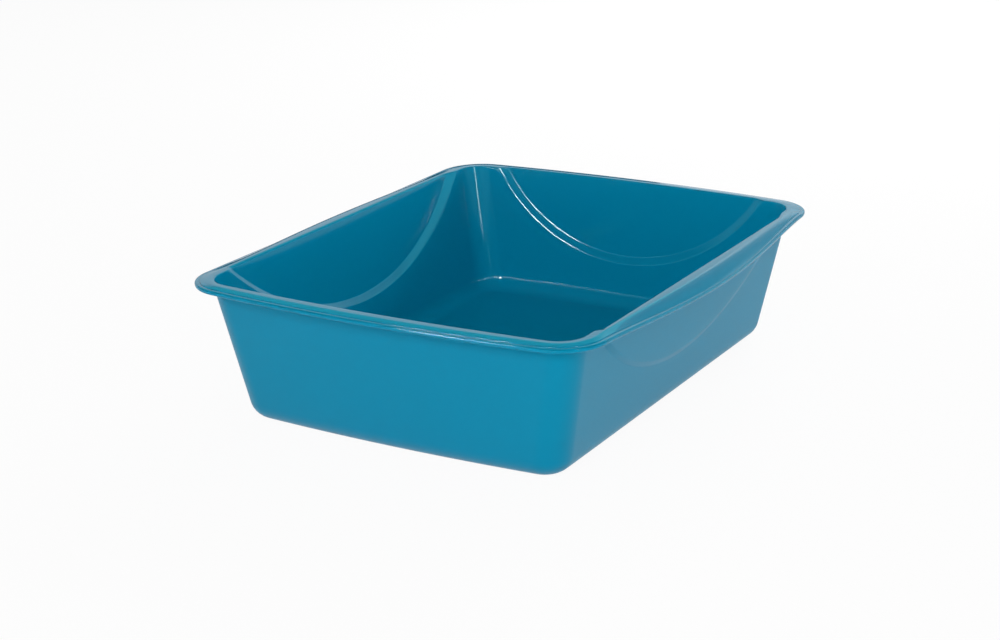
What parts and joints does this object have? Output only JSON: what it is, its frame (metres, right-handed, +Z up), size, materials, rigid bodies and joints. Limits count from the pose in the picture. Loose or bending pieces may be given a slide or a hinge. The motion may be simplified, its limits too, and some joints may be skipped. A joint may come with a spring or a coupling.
{
  "type": "cat litter pan",
  "caption": "Open cat litter pan moulded in one piece, with drafted bowed walls, arc-shaped wall panels, a beaded rim and broad side lips.",
  "frame": {"origin": "centre of the underside, on the surface that the pan stands on", "axes": "+Z up, +Y along the pan towards the short wall that has an arc panel, +X across it"},
  "size_m": [0.394, 0.472, 0.121],
  "materials": {
    "teal_plastic": "moulded polypropylene, glossy inside and satin outside"
  },
  "bodies": {
    "root": {"pan": "teal_plastic"}
  },
  "joints": []
}
